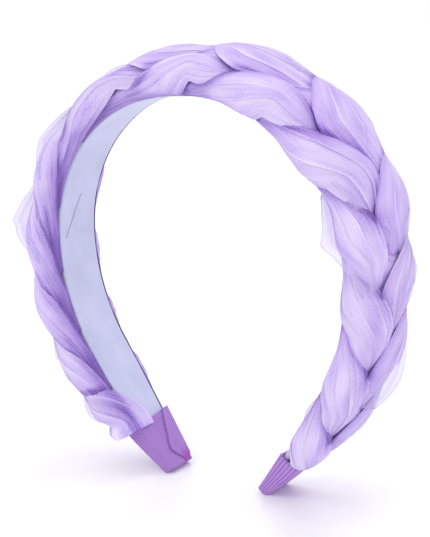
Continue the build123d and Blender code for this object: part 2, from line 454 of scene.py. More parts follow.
def fold_relief(tucks, place, width, phase, index):
    """Layers folded over each other: how deep each point lies behind them, and how near it is to a fold."""
    depth, rim = np.zeros_like(place), np.zeros_like(place)
    stretch = np.floor((phase - 0.35) / pi).astype(int)
    for number in range(stretch.min(), stretch.max() + 1):
        rng = np.random.default_rng(1000 * index + number + 7)
        here = (stretch == number).astype(float)
        for k in range(fold_count):
            line = (k + 0.5 + rng.uniform(-0.32, 0.32)) / fold_count
            line = line + 0.06 * waves(tucks, rng.integers(9999), 3, 0.5)[:, None]
            facing = 1 if rng.uniform() < 0.5 else -1
            strength = rng.uniform(*fold_depths) * np.minimum(1, width / 9)
            x = facing * (place - line) * width
            behind = ease(x / 0.5 + 0.5) * np.exp(-np.maximum(x, 0) / 2.6)
            depth += here * strength * (behind - fold_lip * bell(x + 0.45, 0.6))
            rim = np.maximum(rim, here * bell(x + 0.22, 0.26) * np.clip(strength + 0.15, 0, 1))
    for number, ripple in enumerate(RIPPLES):
        drift = 0.8 * waves(tucks, 700 + 10 * index + number, 3, 0.4)[:, None]
        ridge = np.abs(np.sin(pi * (strand_cloth / ripple.spacing * place + drift))) ** 0.8
        fade = 0.6 + 0.4 * waves(tucks, 800 + 10 * index + number, 3, 0.6)[:, None]
        depth += ripple.depth * fade * (1 - ridge) * np.minimum(1, width / 12)
    return depth, rim


# Leaves: the stretches of each strand that show, from where it comes out under the strand before it to its
# pointed tip. Each row gives tucks from the tip, places across the braid of the edge to the front and of the
# edge to the back, from -1 at the dome's front edge to 1 at its back edge, and the height among the layers
Outline = namedtuple("Outline", "tuck low high lift")
FRONT_LEAF = [
    Outline(-2.30, -1.50, -1.40, -1.3),
    Outline(-2.05, -1.50, -1.15, -1.2),
    Outline(-1.80, -1.50, -0.85, -1.0),
    Outline(-1.50, -1.50, -0.50, -0.7),
    Outline(-1.20, -1.50, -0.14, -0.3),
    Outline(-1.00, -1.50, 0.03, 0.3),
    Outline(-0.85, -1.47, 0.14, 0.6),
    Outline(-0.70, -1.33, 0.23, 0.8),
    Outline(-0.55, -1.09, 0.28, 0.8),
    Outline(-0.40, -0.80, 0.27, 0.6),
    Outline(-0.25, -0.49, 0.19, 0.3),
    Outline(-0.10, -0.20, 0.09, 0.0),
    Outline(0.05, -0.01, 0.00, -0.5),
]
BACK_LEAF = [
    Outline(-0.95, 1.20, 1.50, -0.2),
    Outline(-0.75, 0.86, 1.50, 0.2),
    Outline(-0.48, 0.42, 1.50, 0.6),
    Outline(-0.22, 0.12, 1.50, 1.0),
    Outline(0.00, -0.02, 1.50, 0.8),
    Outline(0.10, 0.04, 1.50, -0.1),
    Outline(0.25, 0.10, 1.50, -0.7),
    Outline(0.50, 0.15, 1.50, -1.1),
    Outline(0.75, 0.35, 1.50, -1.3),
    Outline(0.98, 0.90, 1.30, -1.4),
]

# The edge to the front of the first front leaves, on the left leg and the crown's left half: it runs along
# the lining for longer than the others and aslant to the tip
Edge = namedtuple("Edge", "tuck low")
SLANTED_EDGE = [
    Edge(-1.70, -1.50),
    Edge(-1.40, -1.45),
    Edge(-1.10, -1.37),
    Edge(-0.85, -1.28),
    Edge(-0.62, -1.16),
    Edge(-0.45, -1.02),
    Edge(-0.30, -0.78),
    Edge(-0.18, -0.50),
    Edge(-0.08, -0.22),
    Edge(0.05, -0.01),
]

# How the lilac of a leaf deepens: everywhere, with painted shade at creases, under a layer and where it is
# narrow, at random with the waves, and with painted shade where it turns under the braid at the front and at
# the back. It pales on the dome's shoulders
LeafToneAndShade = namedtuple("LeafToneAndShade", "plain crease under narrow wave turned_front turned_back shoulder")
leaf_tone_and_shade = LeafToneAndShade(0.30, 0.52, 0.24, 0.12, 0.08, 0.38, 0.18, 0.20)


def on_dome(tucks, place):
    """Points of the dome over the braid, across the band and out from its face, at places across it."""
    share = at_tucks(TUCKS, tucks)
    front, back, height = along_rows(GIRTHS, share)
    swell = ease((spread_start - share) / spread_run)
    swell = swell * (1 - draw_in * ease((draw_in_start - share) / draw_in_run))
    half, middle, foot, rise = dome(front + spread_front * swell, back, height + spread_height * swell)
    turn = np.clip(place, -1, 1) * pi / 2
    across = middle + (half - dome_inset) * np.sin(turn)
    out = foot + (rise - dome_inset) * np.cos(turn)
    # Round under the front edge, and straight from the back edge to the band
    side = np.where(place < 0, -1.0, 1.0)
    under = np.clip((np.abs(place) - 1) / 0.5, 0, 1)
    inwards = np.where(place < 0, np.cos(under * pi / 2), (1 - under) ** 1.6)
    down = np.where(place < 0, np.sin(under * pi / 2), under)
    over_ribbon = ribbon_cover * ease((cover_start - share) / cover_run) * (place < 0)
    edge = side * (band_half_at(share) + edge_gap + over_ribbon)
    across = np.where(under > 0, edge + (across - edge) * inwards, across)
    out = np.where(under > 0, foot - (band_thickness + edge_reach + over_ribbon + foot) * down, out)
    # Beyond the front edge's underside the cloth turns over onto the lining
    turned = np.clip(-1.5 - place, 0, None)
    return across + turned * turnover_width, out - turnover_rise * ease(turned / 0.06)


def leaf_outline(tip, front, after):
    """The leaf's edges as places across the dome and its height among the layers, in tucks after its tip."""
    low, high, lift = along_rows(FRONT_LEAF if front else BACK_LEAF, after)
    if front:
        high = np.where(high > 0, high * FULLNESS[tip], high)
    if front and tip <= slanted_tips:
        [low] = along_rows(SLANTED_EDGE, after)
    # The line of the tips lies off the dome's middle, by as much as the lanes say
    lane = at_tucks(LANES, tip + after)
    low, high = (edge + lane * np.clip(1 - edge**2, 0, 1) for edge in (low, high))
    if front and tip == 1:
        widening = np.clip((turnover_end - tip - after) / turnover_run, 0, turnover_past)
        low = low - turnover_share * np.sin(pi / 2 * widening)
    return low, high, lift


def within_braid(tucks, start=mouth_margin):
    """Which places in tucks lie on the braid, from a start to its right mouth."""
    return (tucks > start) & (tucks < len(TUCKS) - 1 - mouth_margin)


def leaf_rows(tip, front):
    """Places along a leaf, in tucks after its tip, as far as the braid goes."""
    rows = FRONT_LEAF if front else BACK_LEAF
    after = np.linspace(rows[0].tuck, rows[-1].tuck, LEAF_ROWS)
    start = FIRST_ROWS.get(tip, mouth_margin) if front else back_start
    return after[within_braid(tip + after, start)][:, None]


def leaf_surface(tip, front, after, share, lift):
    """A layer of the leaf whose tip is at a tuck: places across, its width, and points across and out."""
    tucks = tip + after
    low, high, height = leaf_outline(tip, front, after)
    place = low + (high - low) * share
    across, out = on_dome(tucks, place)
    before, ahead = on_dome(tucks, place - 0.01), on_dome(tucks, place + 0.01)
    slope = ahead[0] - before[0], ahead[1] - before[1]
    size = np.maximum(np.hypot(*slope), SLIGHT)
    width = (high - low) * place_width
    full = np.minimum(1, width / full_width)
    # It swells over the shoulder, along the stretch where it lies on top
    edge_run = np.clip((after + 1.3) / 1.0, 0, 1) if front else np.clip((after + 0.55) / 1.08, 0, 1)
    bulge = edge_bulge * np.sin(pi * edge_run) * bell(np.abs(place) - shoulder, shoulder_width)
    crown = leaf_crown * full * np.sin(pi * np.clip(share, 0, 1)) ** 0.8
    # A front leaf's lower edge rolls down onto the leaf under it
    roll = edge_stand + (1 - edge_stand) * ease(share / 0.4) if front else 1
    stand = (np.maximum(height, 0) * leaf_rise + bulge) * roll
    rise = np.minimum(height, 0) * leaf_rise + stand + crown + lift * full
    # Its height fades out where it turns under the braid, and comes back a little on the lining
    fade = np.where(place < 0, (1.45 - np.abs(place)) / 0.3, (1.2 - np.abs(place)) / 0.25)
    rise = rise * np.clip(fade, 0.05 + 0.3 * ease((-1.5 - place) / 0.1), 1)
    return place, width, full, across - rise * slope[1] / size, out + rise * slope[0] / size


def from_cover(tip, front, after, place):
    """How far each point of a leaf lies from the leaves that lie over it, in millimetres."""
    if front:
        own = leaf_outline(tip - 1, True, after + 1)[0] - place, after + 1
        other = leaf_outline(tip, False, after)[0] - place, -after - 0.95
    else:
        own = place - leaf_outline(tip + 1, True, after - 1)[1], -after - 0.9
        other = leaf_outline(tip + 1, False, after - 1)[0] - place, 0.05 - after
    ways = [
        np.hypot(np.clip(aside, 0, None) * place_width, np.clip(along, 0, None) * tuck_length)
        for aside, along in (own, other)
    ]
    return np.minimum(*ways)


# Meshes


def sheet_mesh(name, points, closed=False, widths=None, layers=1, **marks):
    """A mesh over rows and columns of points, with a map in millimetres and marks kept on its points."""
    rows, columns = points.shape[:2]
    wrap = columns if closed else columns - 1
    strips = np.array([c for c in range(wrap) if layers == 1 or (c + 1) % (columns // layers)])
    r, c = np.meshgrid(np.arange(rows - 1), strips, indexing="ij")
    corners = [(r, c), (r, c + 1), (r + 1, c + 1), (r + 1, c)]
    faces = np.stack([a * columns + b % columns for a, b in corners], -1).reshape(-1, 4)
    mesh = bpy.data.meshes.new(name)
    mesh.from_pydata(points.reshape(-1, 3).tolist(), [], faces.tolist())
    if widths is None:
        ring = np.concatenate([points, points[:, :1]], 1) if closed else points
        spans = np.linalg.norm(np.diff(ring, axis=1), axis=2).mean(0) / MM
        widths = np.concatenate([[0], np.cumsum(spans)])
    runs = np.linalg.norm(np.diff(points, axis=0), axis=2).mean(1) / MM
    lengths = np.concatenate([[0], np.cumsum(runs)])
    around = np.stack([widths[b] for a, b in corners], -1).reshape(-1)
    along = np.stack([lengths[a] for a, b in corners], -1).reshape(-1)
    layer = mesh.uv_layers.new(name="cloth")
    layer.data.foreach_set("uv", np.stack([around, along], -1).reshape(-1))
    for mark, values in marks.items():
        values = np.broadcast_to(values, (rows, columns)).astype(np.float32)
        mesh.attributes.new(mark, "FLOAT", "POINT").data.foreach_set("value", values.ravel())
    mesh.shade_smooth()
    piece = bpy.data.objects.new(name, mesh)
    bpy.context.collection.objects.link(piece)
    return piece


def finish_piece(piece, material, slot, *nodes):
    """Gives a piece its cloth, lets it ride on the part and stand for its solids."""
    piece.data.materials.append(material)
    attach(piece, "root")
    if nodes:
        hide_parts(*nodes)


def close_ends(points):
    """Adds a ring at the middle of either end of a tube."""
    start, end = (np.repeat(ring.mean(0)[None, None], points.shape[1], 1) for ring in (points[0], points[-1]))
    return np.concatenate([start, points, end])


# Materials

MARK, MATH, MIX = "ShaderNodeAttribute", "ShaderNodeMath", "ShaderNodeMix"
NOISE, RAMP, BUMP = "ShaderNodeTexNoise", "ShaderNodeValToRGB", "ShaderNodeBump"


def colour(hex_code, alpha=1.0):
    """An sRGB hex value as linear red, green and blue."""
    parts = [int(hex_code[k : k + 2], 16) / 255 for k in (1, 3, 5)]
    return tuple(p / 12.92 if p <= 0.04045 else ((p + 0.055) / 1.055) ** 2.4 for p in parts) + (alpha,)


def add_node(tree, kind, inputs=None, stops=None, **settings):
    """Adds a node with its settings; inputs are values or the sockets they are linked from."""
    node = tree.nodes.new(kind)
    for name, value in settings.items():
        setattr(node, name, value)
    for name, value in (inputs or {}).items():
        if isinstance(value, bpy.types.NodeSocket):
            tree.links.new(value, node.inputs[name])
        else:
            node.inputs[name].default_value = value
    if stops:
        ramp = node.color_ramp
        while len(ramp.elements) < len(stops):
            ramp.elements.new(0.5)
        for element, (place, shade) in zip(ramp.elements, stops):
            element.position = place
            element.color = colour(shade)
    return node


def new_material(name):
    """An empty material and its node tree."""
    material = bpy.data.materials.new(name)
    material.use_nodes = True
    material.node_tree.nodes.clear()
    return material, material.node_tree


def finish_material(material, inputs):
    """Ends a material with its shader and its output."""
    tree = material.node_tree
    shader = add_node(tree, "ShaderNodeBsdfPrincipled", inputs)
    add_node(tree, "ShaderNodeOutputMaterial", {"Surface": shader.outputs[0]})
    return material


def cloth_noise(tree, across_mm, along_mm, detail=2.0):
    """Cloudy lines of a spacing across and along the cloth, in millimetres."""
    uv = add_node(tree, "ShaderNodeUVMap", uv_map="cloth")
    scale = (1 / across_mm, 1 / along_mm, 1.0)
    stretch = add_node(tree, "ShaderNodeMapping", {"Vector": uv.outputs[0], "Scale": scale})
    inputs = {"Vector": stretch.outputs[0], "Scale": 1.0, "Detail": detail, "Roughness": 0.6}
    return add_node(tree, NOISE, inputs).outputs["Fac"]


def gathered_organza():
    """Gathered sheer polyester organza: deep lilac where layers stack, with painted shade in crevices and a
    painted highlight on each fold, pale where few lie.
    """
    material, tree = new_material("gathered_organza")
    tone_and_shade, rim = (add_node(tree, MARK, attribute_name=mark).outputs["Fac"] for mark in ("tone_and_shade", "rim"))
    # Crinkles run along the gathers, 0.8 mm apart; threads 0.15 mm apart are drawn as 0.45 mm flecks to show
    crinkles = cloth_noise(tree, 0.8, 22.0, 3.0)
    flecks = cloth_noise(tree, 0.45, 0.6, 1.0)
    patches = cloth_noise(tree, 7.0, 14.0, 1.0)
    lines = add_node(tree, MATH, {0: crinkles, 1: 0.42, 2: -0.21}, operation="MULTIPLY_ADD").outputs[0]
    # Flecks gathered in patches stand for painted glints off the threads
    shimmer = add_node(tree, MATH, {0: flecks, 1: 0.5}, operation="SUBTRACT").outputs[0]
    shimmer = add_node(tree, MATH, {0: shimmer, 1: patches}, operation="MULTIPLY").outputs[0]
    shimmer = add_node(tree, MATH, {0: shimmer, 1: 0.55, 2: lines}, operation="MULTIPLY_ADD").outputs[0]
    depth = add_node(tree, MATH, {0: tone_and_shade, 1: shimmer}, operation="ADD").outputs[0]
    stops = [(0.00, "#E2D6F8"), (0.28, "#CDB8F0"), (0.50, "#BDA5E6"), (0.72, "#AC92D8"), (1.00, "#8E70BE")]
    lilac = add_node(tree, RAMP, {"Fac": depth}, stops=stops).outputs["Color"]
    # A painted highlight: a pale line along each fold
    painted_highlight = add_node(tree, MATH, {0: rim, 1: 0.75}, operation="MULTIPLY").outputs[0]
    edged = add_node(tree, MIX, {0: painted_highlight, 6: lilac, 7: colour("#F1EAFD")}, data_type="RGBA").outputs[2]
    relief = add_node(tree, MATH, {0: crinkles, 1: flecks}, operation="ADD").outputs[0]
    bump = add_node(tree, BUMP, {"Height": relief, "Strength": 0.35, "Distance": 0.0003}).outputs[0]
    return finish_material(
        material,
        {
            "Base Color": edged,
            "Normal": bump,
            "Roughness": 0.7,
            "Specular IOR Level": 0.15,
            "Sheen Weight": 0.12,
            "Sheen Roughness": 0.4,
            "Sheen Tint": colour("#F3ECFF"),
            "Subsurface Weight": 0.6,
            "Subsurface Radius": (1.0, 0.8, 1.2),
            "Subsurface Scale": 0.003,
        },
    )


def folded_organza():
    """A few smooth silky layers of the same organza, half see-through, with painted shade in creases and a
    pale painted highlight along each fold.
    """
    material, tree = new_material("folded_organza")
    marks = "tone_and_shade", "rim", "cover"
    tone_and_shade, rim, cover = (add_node(tree, MARK, attribute_name=mark).outputs["Fac"] for mark in marks)
    # Crinkles run along the gathers, 0.7 mm apart; threads 0.15 mm apart are drawn as 0.4 mm flecks to show
    crinkles = cloth_noise(tree, 0.7, 30.0, 3.0)
    flecks = cloth_noise(tree, 0.4, 0.5, 1.0)
    clouds = cloth_noise(tree, 4.0, 16.0, 1.0)
    # Flecks gathered in the clouds stand for painted glints off the threads
    sparkle = add_node(tree, MATH, {0: flecks, 1: 0.5}, operation="SUBTRACT").outputs[0]
    sparkle = add_node(tree, MATH, {0: sparkle, 1: clouds}, operation="MULTIPLY").outputs[0]
    depth = tone_and_shade
    for field, weight in ((crinkles, 1.05), (clouds, 0.80), (sparkle, 1.30)):
        depth = add_node(tree, MATH, {0: field, 1: weight, 2: depth}, operation="MULTIPLY_ADD").outputs[0]
    depth = add_node(tree, MATH, {0: depth, 1: 0.915}, operation="SUBTRACT").outputs[0]
    stops = [(0.00, "#E8DBFF"), (0.25, "#D8C4FA"), (0.50, "#C4AAEF"), (0.75, "#A283D9"), (1.00, "#7553AC")]
    lilac = add_node(tree, RAMP, {"Fac": depth}, stops=stops).outputs["Color"]
    # A painted highlight: a pale line along each fold
    painted_highlight = add_node(tree, MATH, {0: rim, 1: 0.55}, operation="MULTIPLY").outputs[0]
    shade = add_node(tree, MIX, {0: painted_highlight, 6: lilac, 7: colour("#F3ECFF")}, data_type="RGBA").outputs[2]
    lines = add_node(tree, MATH, {0: crinkles, 1: 0.5, 2: -0.25}, operation="MULTIPLY_ADD").outputs[0]
    dense = add_node(tree, MATH, {0: rim, 1: 0.2, 2: cover}, operation="MULTIPLY_ADD").outputs[0]
    alpha = add_node(tree, MATH, {0: dense, 1: lines}, operation="ADD", use_clamp=True).outputs[0]
    relief = add_node(tree, MATH, {0: flecks, 1: 0.4, 2: crinkles}, operation="MULTIPLY_ADD").outputs[0]
    bump = add_node(tree, BUMP, {"Height": relief, "Strength": 0.8, "Distance": 0.0005}).outputs[0]
    return finish_material(
        material,
        {
            "Base Color": shade,
            "Alpha": alpha,
            "Normal": bump,
            "Roughness": 0.6,
            "Specular IOR Level": 0.2,
            "Sheen Weight": 0.2,
            "Sheen Roughness": 0.4,
            "Sheen Tint": colour("#F3ECFF"),
        },
    )


def single_organza():
    """One or two layers of the same organza: see-through, with a denser line where the cloth folds back."""
    material, tree = new_material("single_organza")
    rim, cover = (add_node(tree, MARK, attribute_name=mark).outputs["Fac"] for mark in ("rim", "cover"))
    # Crinkles 0.9 mm apart, and threads 0.15 mm apart drawn as 0.45 mm flecks to show
    crinkles = cloth_noise(tree, 0.9, 24.0, 3.0)
    flecks = cloth_noise(tree, 0.45, 0.6, 1.0)
    lines = -0.14
    for field, weight in ((crinkles, 0.20), (flecks, 0.08)):
        lines = add_node(tree, MATH, {0: field, 1: weight, 2: lines}, operation="MULTIPLY_ADD").outputs[0]
    dense = add_node(tree, MATH, {0: rim, 1: 0.55, 2: cover}, operation="MULTIPLY_ADD").outputs[0]
    alpha = add_node(tree, MATH, {0: dense, 1: lines}, operation="ADD", use_clamp=True).outputs[0]
    shades = {0: rim, 6: colour("#DDCFF8"), 7: colour("#B6A6E0")}
    shade = add_node(tree, MIX, shades, data_type="RGBA").outputs[2]
    bump = add_node(tree, BUMP, {"Height": crinkles, "Strength": 0.3, "Distance": 0.0003}).outputs[0]
    return finish_material(
        material,
        {
            "Base Color": shade,
            "Alpha": alpha,
            "Normal": bump,
            "Roughness": 0.5,
            "Specular IOR Level": 0.3,
            "Sheen Weight": 0.3,
            "Sheen Roughness": 0.4,
            "Sheen Tint": colour("#F3ECFF"),
        },
    )


def woven_satin():
    """Pale blue-grey polyester satin over thin foam: a soft broad sheen, faint clouds and a fine grain."""
    material, tree = new_material("woven_satin")
    # Floats 0.2 mm apart are drawn 0.5 mm apart to show
    grain = cloth_noise(tree, 0.5, 0.5, 2.0)
    clouds = cloth_noise(tree, 9.0, 16.0, 2.0)
    floats = cloth_noise(tree, 0.4, 6.0, 2.0)
    mixed = -0.05
    for field, weight in ((clouds, 0.9), (grain, 0.35)):
        mixed = add_node(tree, MATH, {0: field, 1: weight, 2: mixed}, operation="MULTIPLY_ADD").outputs[0]
    stops = [(0.25, "#B8BBDB"), (0.75, "#CBCDE9")]
    shade = add_node(tree, RAMP, {"Fac": mixed}, stops=stops).outputs["Color"]
    relief = add_node(tree, MATH, {0: grain, 1: floats}, operation="ADD").outputs[0]
    bump = add_node(tree, BUMP, {"Height": relief, "Strength": 0.25, "Distance": 0.0002}).outputs[0]
    return finish_material(
        material,
        {
            "Base Color": shade,
            "Normal": bump,
            "Roughness": 0.42,
            "Specular IOR Level": 0.4,
            "Sheen Weight": 0.2,
            "Sheen Roughness": 0.5,
            "Sheen Tint": colour("#EEF0FF"),
        },
    )


def grosgrain():
    """Ribbed polyester ribbon: raised cords with painted shade in the furrows, magenta where the under layer
    shows.
    """
    material, tree = new_material("grosgrain_ribbon")
    furrow, under = (add_node(tree, MARK, attribute_name=mark).outputs["Fac"] for mark in ("furrow", "under"))
    # The yarn's flecks, 0.2 mm apart, are drawn 0.5 mm apart to show; the cords are in the mesh
    flecks = cloth_noise(tree, 0.5, 0.5, 2.0)
    clouds = cloth_noise(tree, 5.0, 8.0, 1.0)
    depth = furrow
    for field in (flecks, clouds):
        depth = add_node(tree, MATH, {0: field, 1: 0.3, 2: depth}, operation="MULTIPLY_ADD").outputs[0]
    purple, magenta = (
        add_node(tree, RAMP, {"Fac": depth}, stops=stops).outputs["Color"]
        for stops in (
            [(0.15, "#B98FDB"), (0.6, "#A77CCB"), (1.0, "#8A5FB0")],
            [(0.15, "#B162C2"), (1.0, "#8E429C")],
        )
    )
    shade = add_node(tree, MIX, {0: under, 6: purple, 7: magenta}, data_type="RGBA").outputs[2]
    bump = add_node(tree, BUMP, {"Height": flecks, "Strength": 0.3, "Distance": 0.0002}).outputs[0]
    return finish_material(
        material,
        {
            "Base Color": shade,
            "Normal": bump,
            "Roughness": 0.5,
            "Specular IOR Level": 0.4,
            "Sheen Weight": 0.25,
            "Sheen Roughness": 0.4,
            "Sheen Tint": colour("#F3E6FF"),
        },
    )


def spun_thread():
    """Spun polyester thread caught on the lining: a thin dull greyish brown line."""
    material, tree = new_material("spun_thread")
    twist = cloth_noise(tree, 0.3, 0.8, 1.0)
    stops = [(0.3, "#8E8796"), (0.7, "#A9A0AB")]
    shade = add_node(tree, RAMP, {"Fac": twist}, stops=stops).outputs["Color"]
    return finish_material(material, {"Base Color": shade, "Roughness": 0.7, "Specular IOR Level": 0.3})


def pale_card():
    """Smooth white card under the headband, with a faint soft reflection."""
    material, tree = new_material("pale_card")
    place = add_node(tree, "ShaderNodeTexCoord").outputs["Object"]
    grain = add_node(tree, NOISE, {"Vector": place, "Scale": 40.0, "Detail": 2.0}).outputs["Fac"]
    stops = [(0.3, "#FBFBFC"), (0.7, "#FFFFFF")]
    shade = add_node(tree, RAMP, {"Fac": grain}, stops=stops).outputs["Color"]
    return finish_material(material, {"Base Color": shade, "Roughness": 0.35, "Specular IOR Level": 0.5})


# The strands


def strand_rings(index):
    """A strand's outlines from mouth to mouth, with columns that follow its visible stretches."""
    tucks = np.linspace(0, len(TUCKS) - 1, ROWS_PER_TUCK * (len(TUCKS) - 1) + 1)
    turns = np.linspace(-pi / 2, 3 * pi / 2, SECTION_TURNS, endpoint=False)[None, :]
    strand = strand_section(tucks, index, turns)
    y, z = strand.across + strand.reach * strand.ray[0], strand.out + strand.reach * strand.ray[1]
    place, width = visible_share(y, z, strand.shown)
    outward = strand.side * np.cos(turns) * np.sin(strand.phase) ** 2
    spots = (np.arange(STRAND_COLUMNS) + 0.5) / STRAND_COLUMNS
    fields = [y, z, strand.shown, strand.near, outward]
    even = [np.stack([np.interp(spots, p, row) for p, row in zip(place, field)]) for field in fields]
    return tucks, strand, np.broadcast_to(spots, even[0].shape), width, even


def make_strand(index, material):
    """One gathered strand from mouth to mouth: the folded layers that lie under the leaves, with ripples."""
    tucks, strand, place, width, (y, z, shown, near, outward) = strand_rings(index)
    relief, rim = fold_relief(tucks, place, width, strand.phase, index)
    inset = relief * shown + leaf_room * shown * (1 - 0.6 * near)
    size = np.hypot(y - strand.across, z - strand.out)
    kept = 1 - np.minimum(inset / np.maximum(size, 0.3), 0.4)
    y = strand.across + kept * (y - strand.across)
    z = strand.out + kept * (z - strand.out)
    points = close_ends(over_band(strand.share, y, z))

    # Few layers lie at the braid's edges, which are paler, many where strands press together or a fold hides
    # the next:
    # there, and where the strand narrows, the lilac is deepened by the layers and by painted shade
    pale = np.clip(outward - 0.3, 0, 1) / 0.7
    narrow = 1 - np.minimum(1, width / 14)
    tone_and_shade = 0.50 + 0.24 * np.clip(relief, -0.2, 1.2) + 0.40 * near**1.5 - 0.30 * pale + 0.25 * narrow
    tone_and_shade = tone_and_shade + 0.10 * waves(tucks, 60 + index, 4, 0.4)[:, None]
    # The pale line along each fold is a painted highlight
    marks = {"tone_and_shade": np.clip(tone_and_shade, 0, 1), "rim": 0.6 * rim * shown}
    marks = {name: np.pad(mark, ((1, 1), (0, 0)), "edge") for name, mark in marks.items()}
    across_cloth = strand_cloth * np.append(place[0], 1 + place[0, 0])
    piece = sheet_mesh(f"organza_strand_{index + 1}", points, closed=True, widths=across_cloth, **marks)
    finish_piece(piece, material, "organza", f"strand_{index + 1}")


def make_leaf(tip, front, material):
    """The folded layers of one stretch that shows: leaves with pointed ends that lap over each other."""
    rng = np.random.default_rng(5000 + 2 * tip + front)
    count = int(rng.integers(4, 7))
    strengths = rng.uniform(0.4, 1.0, count)
    breaks = (np.arange(count + 1) + np.pad(rng.uniform(-0.22, 0.22, count - 1), 1)) / count
    facing = 1 if rng.uniform() < 0.65 else -1
    after = leaf_rows(tip, front)
    tucks = tip + after
    wanders = [0.10 / count * waves(tucks, rng.integers(99999), 2, 0.4) for _ in range(count - 1)]
    wanders = [0, *wanders, 0]
    across = np.linspace(0, 1, LEAF_COLUMNS)[None, :]
    # One edge of each layer lies over the next layer, and its other edge lies under one
    towards = across if facing > 0 else 1 - across
    under = np.clip(1 - towards * 1.6, 0, 1) ** 2
    layers, layer_marks = [], []
    for k in range(count):
        lap = (0.22 + 0.12 * rng.uniform()) / count
        wave = waves(tucks, rng.integers(99999), 3, 0.5)
        low_share = breaks[k] + wanders[k] - lap * (k > 0)
        high_share = breaks[k + 1] + wanders[k + 1] + lap * (k < count - 1)
        share = low_share + (high_share - low_share) * across
        pleats = np.sin(2 * pi * (leaf_cloth * share / pleat_spacing + 0.6 * waves(tucks, 40 + tip, 2, 0.4)))
        belly = (0.2 + 0.12 * wave) * np.sin(pi * across)
        lift = leaf_step * (towards - 0.3) + belly + pleat_height * pleats
        place, width, full, y, z = leaf_surface(tip, front, after, share, lift)
        # The last leaf on the left is cut round, higher on its outer side
        shear = end_shear * ease((place + 1.15) / 0.7) * ease((0.55 - tucks) / 0.5) * (front and tip == 1)
        layers.append(over_band(at_tucks(TUCKS, tucks + shear), y, z))
        # A painted highlight: a pale line along the edge that lies over the next layer, and a fainter one
        # beside it
        from_edge = (1 - towards) * (high_share - low_share) * width
        rim = bell(from_edge, rim_width) + 0.3 * bell(from_edge - second_rim, rim_width)
        # Painted shade deepens the lilac where another leaf or layer lies over it and where it turns under the
        # braid
        crease = np.exp(-from_cover(tip, front, after, place) / crease_width)
        turned = ease((np.abs(place) - 1.05) / 0.35) * (1 - ease((-1.45 - place) / 0.2))
        few_layers = bell(np.abs(place) - shoulder, 0.25)
        tone_and_shade = leaf_tone_and_shade.plain + leaf_tone_and_shade.crease * crease + leaf_tone_and_shade.under * under
        tone_and_shade = tone_and_shade + leaf_tone_and_shade.narrow * (1 - full) + leaf_tone_and_shade.wave * wave
        tone_and_shade = tone_and_shade + np.where(place < 0, leaf_tone_and_shade.turned_front, leaf_tone_and_shade.turned_back) * turned
        tone_and_shade = tone_and_shade - leaf_tone_and_shade.shoulder * few_layers
        rim = rim * (0.35 + 0.65 * full) * (1 - 0.7 * crease) * strengths[k]
        cover = leaf_cover + 0.12 * under
        layer_marks.append({"rim": np.clip(rim, 0, 1), "tone_and_shade": np.clip(tone_and_shade, 0, 1), "cover": cover})
    points = np.concatenate(layers, 1)
    marks = {name: np.concatenate([marks[name] for marks in layer_marks], 1) for name in layer_marks[0]}
    side = "front" if front else "back"
    piece = sheet_mesh(f"organza_leaf_{side}_{tip}", points, layers=count, **marks)
    finish_piece(piece, material, "organza")


def make_loop(number, loop, material):
    """A single layer that leaves the strand's top, stands off it in a loop and turns back under it."""
    tucks = np.linspace(loop.tuck - loop.span, loop.tuck + loop.span, LOOP_ROWS)
    tucks = tucks[within_braid(tucks)]
    offsets = np.linspace(-loop_spread, loop_spread, LOOP_COLUMNS)[None, :]
    drift = 0.10 * waves(tucks, 300 + number, 3, 0.7)[:, None]
    strand = strand_section(tucks, loop.strand, loop.turn + drift + offsets)
    length = np.hypot(*strand.ray)
    along = np.clip((tucks - loop.tuck) / loop.span, -1, 1)[:, None]
    rise = np.cos(along * pi / 2) ** 1.3
    ripple = 1 + 0.10 * waves(tucks, 400 + number, 3, 0.8)[:, None]
    nose = bell(offsets, loop_nose)
    inset = loop_inset * (1 - nose * rise**0.5)
    size = np.maximum(strand.reach * length + loop.reach * ripple * rise * nose - inset + 0.12, 0.2)
    y = strand.across + size * strand.ray[0] / length
    z = np.maximum(strand.out + size * strand.ray[1] / length, -band_thickness - edge_reach)
    points = over_band(strand.share, y, z)
    # A dense line runs where the layer folds back, and a fainter one beside it
    fold = bell(offsets, 0.06) + 0.5 * bell(offsets + 0.30, 0.05)
    cover = 0.26 + 0.20 * (1 - nose)
    piece = sheet_mesh(f"sheer_loop_{number + 1}", points, rim=np.clip(fold, 0, 1), cover=cover)
    finish_piece(piece, material, "organza")


# The band


def make_band(material):
    """The satin-covered hoop: a padded strip with soft edges and small puckers where the cloth turns over."""
    reach = np.linspace(-half_length, half_length, BAND_ROWS)
    angle = np.linspace(0, 2 * pi, BAND_COLUMNS, endpoint=False)[None, :]
    half = band_half(half_length - np.abs(reach))[:, None]
    thick = band_thickness / 2
    # A rounded bar: straight faces and round edges
    across = half * np.sign(np.cos(angle)) * np.abs(np.cos(angle)) ** 0.16
    square = np.sign(np.sin(angle)) * np.abs(np.sin(angle)) ** 0.55
    inside = half - np.abs(across)
    corner = np.clip(inside / band_edge_round, 0, 1)
    rounding = np.minimum(np.abs(square) * 1.6, np.sqrt(1 - (1 - corner) ** 2) * 0.999 + 0.001)
    out = thick + thick * np.sign(square) * rounding
    pucker = bell(inside, pucker_reach) * waves(reach, 21, 5, 0.09)[:, None]
    out = out + pucker_height * pucker * (1 - np.abs(square))
    cushion = np.clip(1 - (across / half) ** 2, 0, 1)
    out = np.where(np.sin(angle) < 0, out - cushion_height * cushion, out)
    piece = sheet_mesh("satin_lining", close_ends(on_hoop(reach[:, None], across, out)), closed=True)
    finish_piece(piece, material, "satin", "satin_band")


# The ribbon tips

